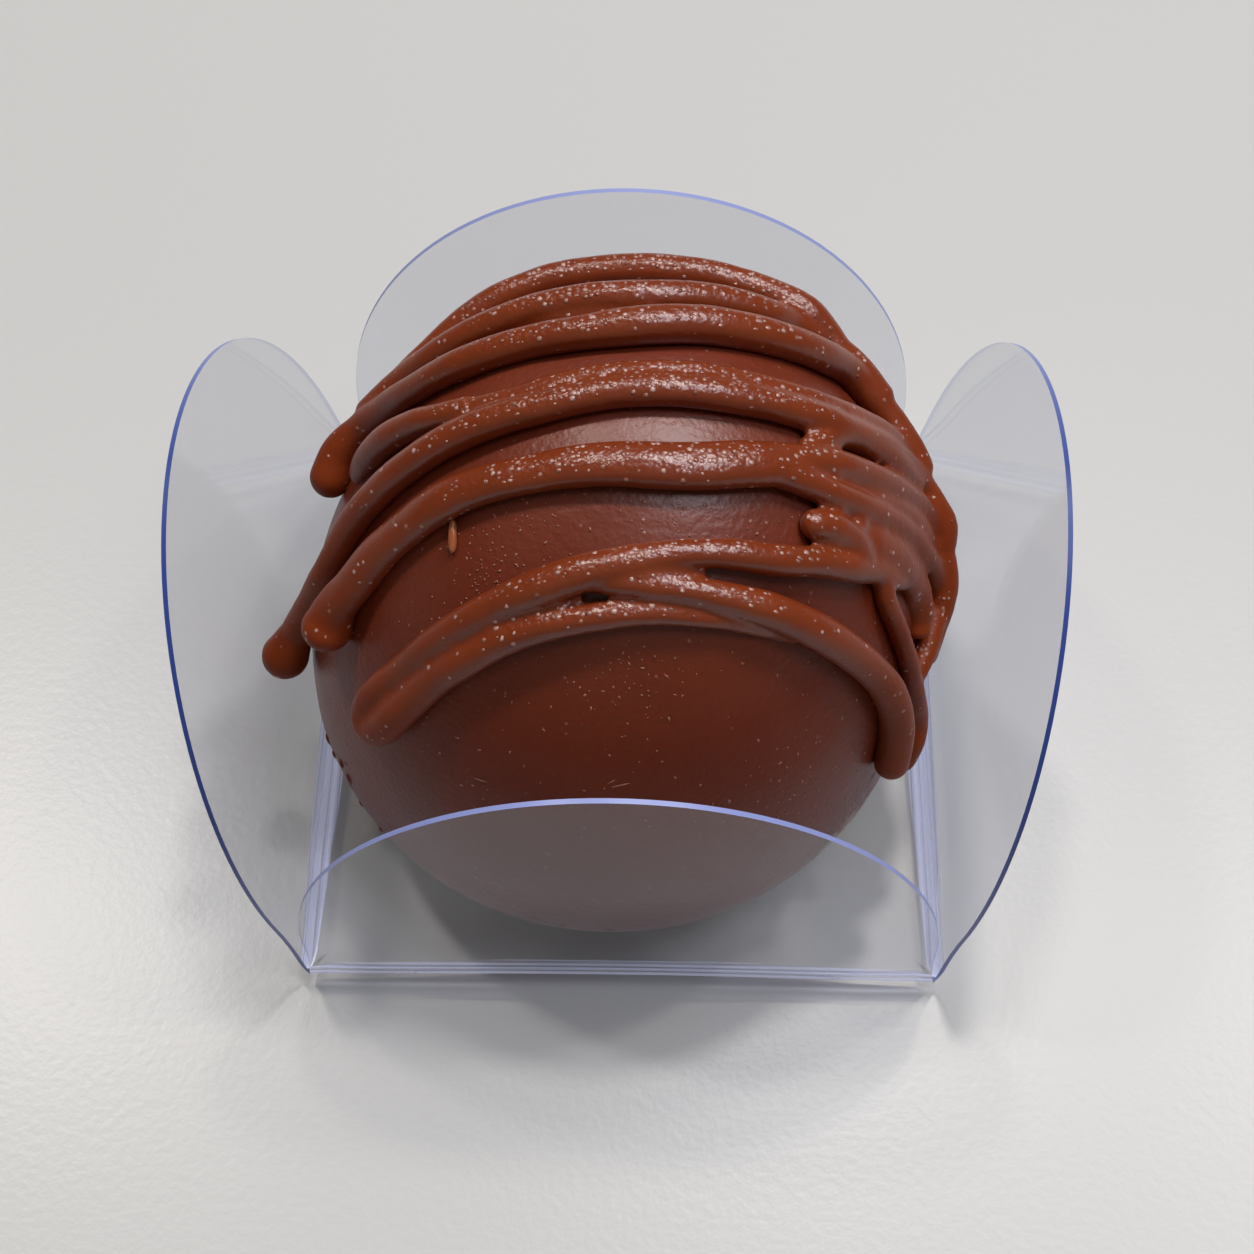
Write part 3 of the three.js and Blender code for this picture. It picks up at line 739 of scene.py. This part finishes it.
def creasedSheet():
    # The same sheet where it is bent: stretched into milky streaks, partly painted highlight, that give off
    # a painted glow standing in for the light led along inside the sheet
    material, tree = newMaterial("creasedSheet")
    place = addNode(tree, "ShaderNodeTexCoord").outputs["Object"]
    axes = addNode(tree, "ShaderNodeSeparateXYZ", {"Vector": place})
    aside, ahead = (addNode(tree, "ShaderNodeMath", {0: axes.outputs[axis]}, operation="ABSOLUTE")
                    for axis in "XY")
    outward = addNode(tree, "ShaderNodeMath", {0: aside.outputs[0], 1: ahead.outputs[0]},
                      operation="MAXIMUM")
    across = addNode(tree, "ShaderNodeMath", {0: outward.outputs[0], 1: axes.outputs["Z"]}, operation="ADD")
    streaks = addNode(tree, "ShaderNodeTexNoise", {
        "W": across.outputs[0], "Scale": 1 / (foldLook["streak"] * mm), "Detail": 1}, noise_dimensions="1D")
    low, high = foldLook["streakNoise"]
    clear, white = foldLook["milkyShare"]
    share = addNode(tree, "ShaderNodeMapRange", {"Value": streaks.outputs["Fac"], "From Min": low,
                                                 "From Max": high, "To Min": clear, "To Max": white})
    through = addNode(tree, "ShaderNodeBsdfTransparent", {"Color": linear(foldLook["tint"])})
    gleam = addNode(tree, "ShaderNodeBsdfGlossy", {"Color": linear(foldLook["gleam"]),
                                                   "Roughness": foldLook["gleamRoughness"]})
    bright = addNode(tree, "ShaderNodeMixShader", {0: foldLook["gleamShare"], 1: through.outputs[0],
                                                   2: gleam.outputs[0]})
    # painted glow: the milky streaks emit light, standing in for light led along inside the sheet
    milkyAndGlow = addNode(tree, "ShaderNodeBsdfPrincipled", {
        "Base Color": linear(foldLook["milkyAndGlow"]), "Roughness": foldLook["milkyRoughness"], "IOR": plasticIor,
        "Emission Color": linear(foldLook["milkyAndGlow"]), "Emission Strength": foldLook["glow"]})
    sheet = addNode(tree, "ShaderNodeMixShader", {0: share.outputs[0], 1: bright.outputs[0],
                                                  2: milkyAndGlow.outputs[0]})
    addNode(tree, "ShaderNodeOutputMaterial", {"Surface": sheet.outputs[0]})
    return material


def cutEdge():
    # The die-cut edge of the sheet: the light that comes out of it is painted blue, deeper on the sides as
    # painted shade, and from behind it hardly shows
    material, tree = newMaterial("cutSheetEdge")
    side = addNode(tree, "ShaderNodeNewGeometry").outputs["Backfacing"]
    through = addNode(tree, "ShaderNodeBsdfTransparent", {"Color": linear(edgeLook["behind"])})
    place = addNode(tree, "ShaderNodeTexCoord").outputs["Object"]
    axes = addNode(tree, "ShaderNodeSeparateXYZ", {"Vector": place})
    aside = addNode(tree, "ShaderNodeMath", {0: axes.outputs["X"]}, operation="ABSOLUTE")
    inner, outer = edgeLook["sideStart"]
    # painted shade: the edge turns deep blue out on the sides
    shadedSides = addNode(tree, "ShaderNodeMapRange", {"Value": aside.outputs[0], "From Min": inner * mm,
                                                  "From Max": outer * mm})
    paintedPaleness = addNode(tree, "ShaderNodeMapRange", {"Value": axes.outputs["Y"],
                                                 "From Max": edgeLook["backStart"] * mm})
    tint = addNode(tree, "ShaderNodeMix", {0: shadedSides.outputs[0], 6: linear(edgeLook["front"]),
                                           7: linear(edgeLook["sides"])}, data_type="RGBA")
    colour = addNode(tree, "ShaderNodeMix", {0: paintedPaleness.outputs[0], 6: tint.outputs[2],
                                             7: linear(edgeLook["back"])}, data_type="RGBA")
    blue = addNode(tree, "ShaderNodeBsdfPrincipled", {
        "Base Color": colour.outputs[2], "Roughness": edgeLook["roughness"], "IOR": plasticIor,
        "Specular IOR Level": edgeLook["gloss"]})
    edge = addNode(tree, "ShaderNodeMixShader", {0: side, 1: blue.outputs[0], 2: through.outputs[0]})
    addNode(tree, "ShaderNodeOutputMaterial", {"Surface": edge.outputs[0]})
    return material


def petalRows():  # height up the petal and half width there, row by row
    half = case["petalWidth"] / 2
    extra = case["side"] / 2 - half
    for i in range(1, case["shoulderRows"] + 1):
        share = i / case["shoulderRows"]
        yield case["shoulder"] * share, half + extra * (1 - share) ** 2
    for i in range(1, case["roundRows"] + 1):
        angle = math.pi / 2 * i / case["roundRows"]
        yield (case["shoulder"] + (case["petalHeight"] - case["shoulder"]) * math.sin(angle),
               half * max(case["petalTip"], math.cos(angle)))


def dish(x, y):  # the base is flat in the middle and turns up to its folds
    power = case["dishSquareness"]
    beyond = (abs(x) ** power + abs(y) ** power) ** (1 / power) - case["flatSide"] / 2
    share = beyond / (case["side"] - case["flatSide"]) * 2
    return case["foldRise"] * min(max(share, 0.0), 1.0) ** case["dishCurve"]


def makeCase():
    clearSelection()
    half = case["side"] / 2
    bpy.ops.mesh.primitive_grid_add(x_subdivisions=case["cells"], y_subdivisions=case["cells"],
                                    size=case["side"] * mm)
    sheet = bpy.context.object
    sheet.name = "clearCase"
    for material in (clearSheet(), creasedSheet(), cutEdge()):
        sheet.data.materials.append(material)
    nearEdge = (half - case["edgeSlack"]) * mm
    bpy.ops.object.mode_set(mode="EDIT")
    pick(sheet, lambda point: min(abs(point.co.x), abs(point.co.y)) > nearEdge)
    bpy.ops.mesh.bevel(offset=case["cornerNick"] * mm, affect="VERTICES", segments=1)
    bpy.ops.object.mode_set(mode="OBJECT")
    for point in sheet.data.vertices:
        point.co.z = (case["sheet"] / 2 + dish(point.co.x / mm, point.co.y / mm)) * mm
    foldHeight = case["foldRise"] + case["sheet"] / 2
    overFold = (foldHeight + case["foldSlack"]) * mm
    bpy.ops.object.mode_set(mode="EDIT")
    for facing, lean in case["leans"].items():
        way = Vector((*facing, 0))
        lean = math.radians(lean)
        rise = way * math.sin(lean) + Vector((0, 0, math.cos(lean)))
        pick(sheet, lambda point: point.co.z < overFold and point.co.dot(way) > nearEdge)
        lastHeight, lastHalf = 0.0, half
        for height, halfWidth in petalRows():
            step = rise * (height - lastHeight) * mm
            bpy.ops.mesh.extrude_edges_move(TRANSFORM_OT_translate={"value": step})
            narrow = halfWidth / lastHalf
            bpy.ops.transform.resize(value=(narrow if facing[1] else 1, narrow if facing[0] else 1, 1),
                                     center_override=(0, 0, 0))
            lastHeight, lastHalf = height, halfWidth
    bpy.ops.mesh.select_all(action="SELECT")
    bpy.ops.mesh.remove_doubles(threshold=case["merge"] * mm)
    bpy.ops.object.mode_set(mode="OBJECT")
    bendFolds(sheet, foldHeight * mm, nearEdge)
    thicken = sheet.modifiers.new("thickness", "SOLIDIFY")
    thicken.thickness = case["sheet"] * mm
    thicken.offset = 0
    thicken.material_offset_rim = 2  # the rim gets the cut edge's material
    applyAll(sheet)
    bpy.ops.object.shade_smooth_by_angle(angle=math.radians(case["smoothAngle"]))
    settle(sheet, "clear_sheet", "case")


def bendFolds(sheet, foldHeight, nearEdge):  # the sheet bends round a small radius at each fold
    weights = sheet.data.attributes.new("bevel_weight_edge", "FLOAT", "EDGE").data
    for edge in sheet.data.edges:
        ends = [sheet.data.vertices[i].co for i in edge.vertices]
        onEdge = all(max(abs(end.x), abs(end.y)) > nearEdge for end in ends)
        if onEdge and all(abs(end.z - foldHeight) < case["foldSlack"] * mm for end in ends):
            middle = (ends[0] + ends[1]) / 2
            outward = min(abs(middle.x), abs(middle.y)) / nearEdge
            weights[edge.index].value = 1 - (1 - case["cornerBend"]) * outward ** 2
    bend = sheet.modifiers.new("bend", "BEVEL")
    bend.limit_method = "WEIGHT"
    bend.width = case["bend"] * mm
    bend.segments = case["bendSegments"]
    bend.material = 1  # the folds get the creased sheet's material
    bend.use_clamp_overlap = False


setCamera()
lightRoom()
layTable()
makeDome()
scatterGrains("paleFlecks", fleckSpots(), paleFlecks())
scatterGrains("frostyScuffsAndPaintedGlint", scuffAndGlintSpots(), rubbedChocolateAndGlint())
scatterGrains("shellChips", chips, mouldedChocolate())
makeDrizzle()
makeSliver()
makeCase()
